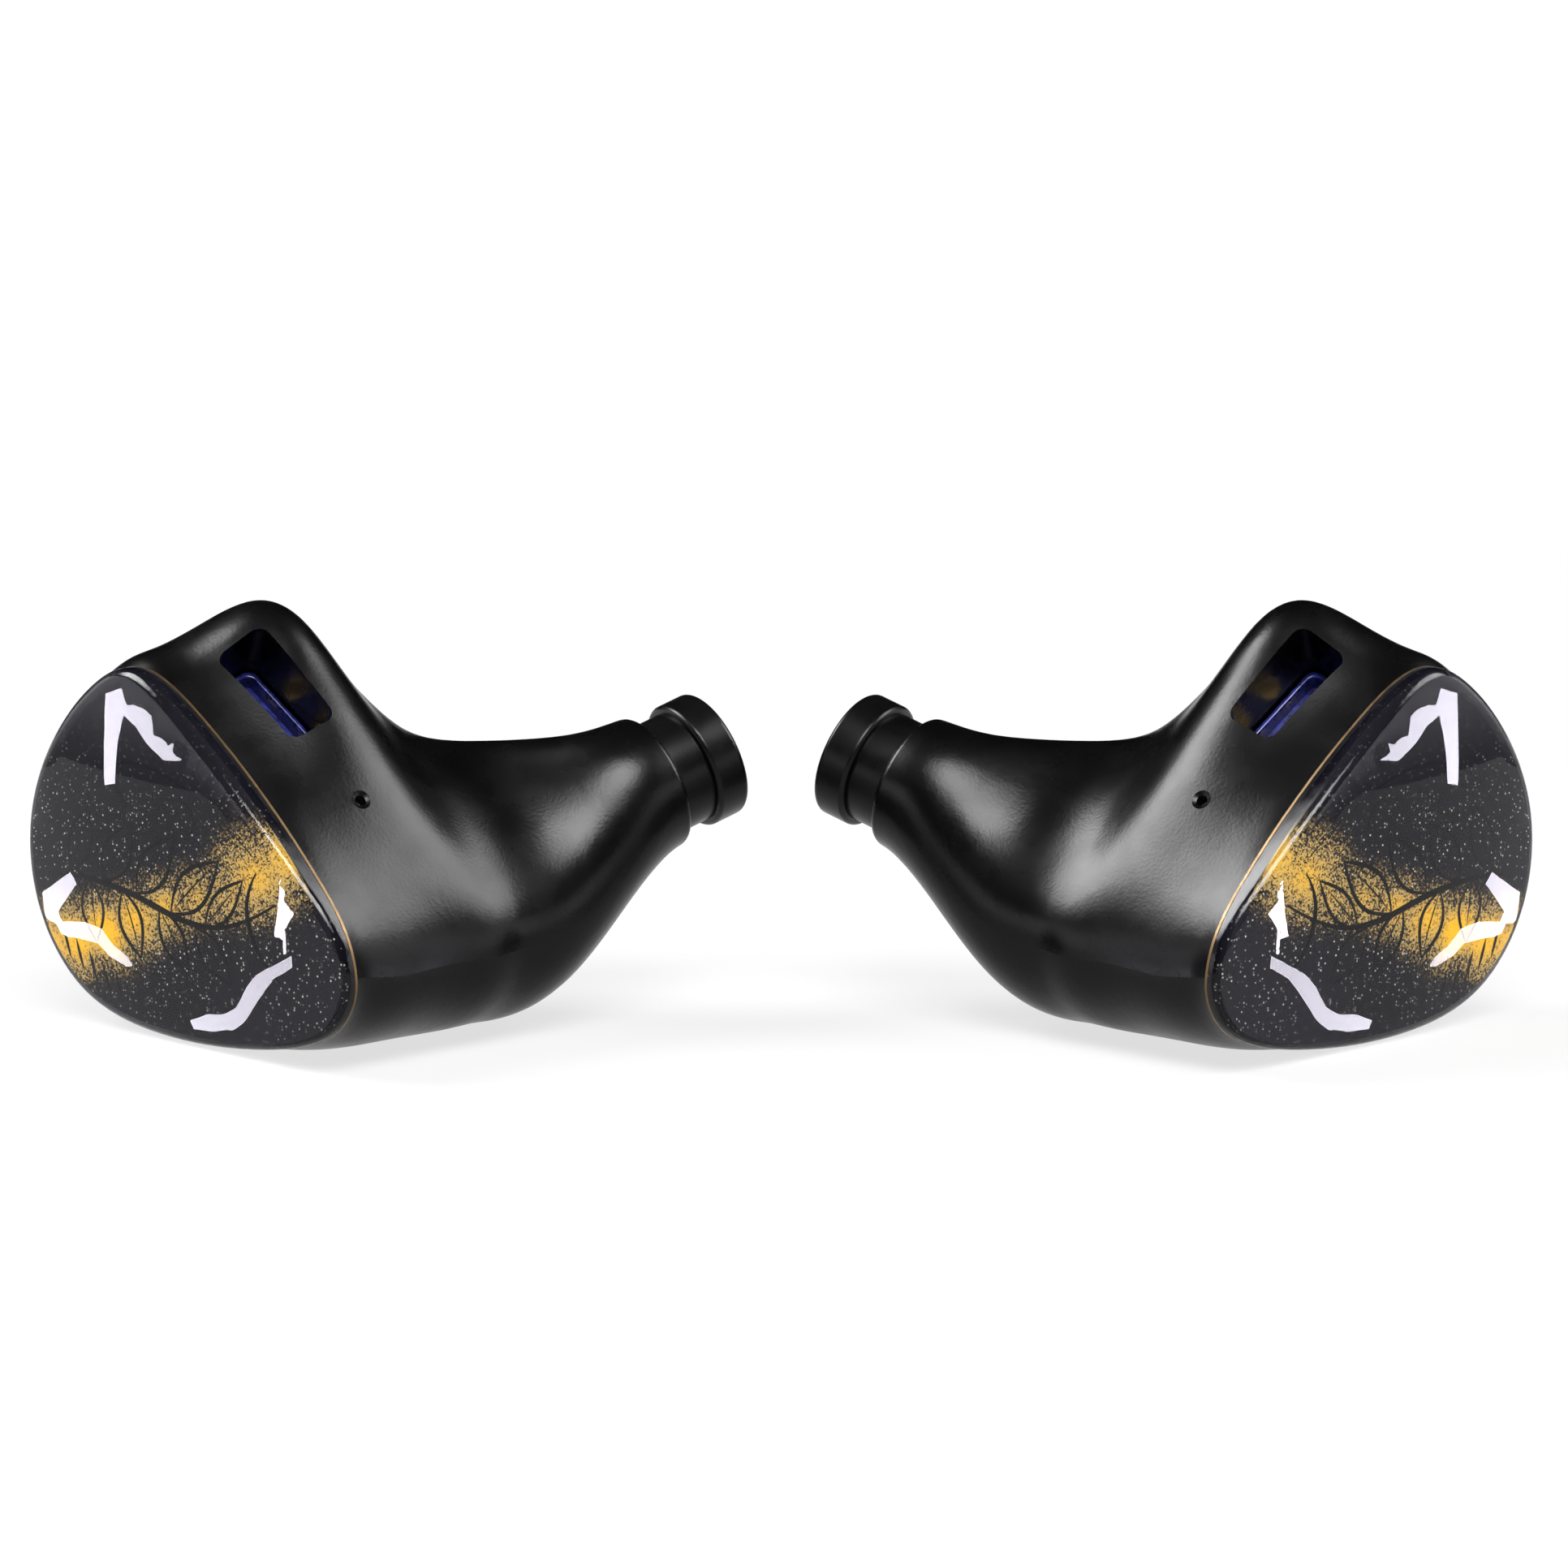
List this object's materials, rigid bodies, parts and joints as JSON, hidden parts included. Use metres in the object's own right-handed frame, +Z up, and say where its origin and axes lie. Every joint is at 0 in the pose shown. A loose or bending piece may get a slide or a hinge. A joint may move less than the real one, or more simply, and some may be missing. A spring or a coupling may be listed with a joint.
{
  "type": "in-ear monitors",
  "caption": "Pair of moulded earpieces for the ear canal, each with a domed faceplate, a recessed two-pin cable socket, a dynamic driver and a lipped nozzle for an ear tip.",
  "frame": {"origin": "middle of the pair's box at the table surface", "axes": "+X across the pair towards the left ear's piece, +Y away from the faceplates towards the nozzles' side, +Z up"},
  "size_m": [0.0724, 0.0204, 0.0206],
  "materials": {
    "shell": "satin moulded black with a fine grain",
    "seam": "thin gold-brown line",
    "panel": "dark metal-flake plate with a misty gold band",
    "dome": "clear polished resin",
    "socket_block": "dark blue translucent moulding",
    "contacts": "gold plated",
    "vent_screen": "woven acoustic cloth",
    "nozzle": "satin black",
    "nozzle_mesh": "perforated sheet",
    "nozzle_damper": "open foam",
    "driver_gasket": "soft black foam rubber",
    "driver_cover": "pressed sheet",
    "driver_frame": "turned",
    "steel": "plated steel",
    "magnet": "nickel plated",
    "coil": "enamelled copper winding",
    "diaphragm": "thin polymer film",
    "surround": "thin elastomer roll",
    "damping_ring": "acoustic paper",
    "board": "green solder resist",
    "lead_signal": "red insulated wire",
    "lead_ground": "black insulated wire"
  },
  "bodies": {
    "left_earpiece": {"left_shell": "shell", "left_seam_ring": "seam", "left_faceplate_panel": "panel", "left_faceplate_dome": "dome", "left_socket_block": "socket_block", "left_contact_signal": "contacts", "left_contact_ground": "contacts", "left_vent_screen": "vent_screen", "left_nozzle": "nozzle", "left_nozzle_mesh": "nozzle_mesh", "left_nozzle_damper": "nozzle_damper", "left_driver_gasket": "driver_gasket", "left_driver_cover": "driver_cover", "left_driver_frame": "driver_frame", "left_yoke": "steel", "left_magnet": "magnet", "left_top_plate": "steel", "left_surround": "surround", "left_damping_ring": "damping_ring", "left_terminal_board": "board", "left_lead_signal": "lead_signal", "left_lead_ground": "lead_ground"},
    "left_moving_coil": {"left_voice_coil": "coil", "left_diaphragm": "diaphragm"},
    "right_earpiece": {"right_shell": "shell", "right_seam_ring": "seam", "right_faceplate_panel": "panel", "right_faceplate_dome": "dome", "right_socket_block": "socket_block", "right_contact_signal": "contacts", "right_contact_ground": "contacts", "right_vent_screen": "vent_screen", "right_nozzle": "nozzle", "right_nozzle_mesh": "nozzle_mesh", "right_nozzle_damper": "nozzle_damper", "right_driver_gasket": "driver_gasket", "right_driver_cover": "driver_cover", "right_driver_frame": "driver_frame", "right_yoke": "steel", "right_magnet": "magnet", "right_top_plate": "steel", "right_surround": "surround", "right_damping_ring": "damping_ring", "right_terminal_board": "board", "right_lead_signal": "lead_signal", "right_lead_ground": "lead_ground"},
    "right_moving_coil": {"right_voice_coil": "coil", "right_diaphragm": "diaphragm"}
  },
  "joints": [
    {"name": "right_earpiece_lift", "type": "slide", "parent": "left_earpiece", "child": "right_earpiece", "axis": [0, 0, 1], "range_m": [0, 0.03]},
    {"name": "left_coil_travel", "type": "slide", "parent": "left_earpiece", "child": "left_moving_coil", "axis": [-0.682, 0.7314, 0], "range_m": [-0.00025, 0.00025], "stiffness_N_per_m": 300, "deforming": ["left_surround"]},
    {"name": "right_coil_travel", "type": "slide", "parent": "right_earpiece", "child": "right_moving_coil", "axis": [0.682, 0.7314, 0], "range_m": [-0.00025, 0.00025], "stiffness_N_per_m": 300, "deforming": ["right_surround"]}
  ]
}
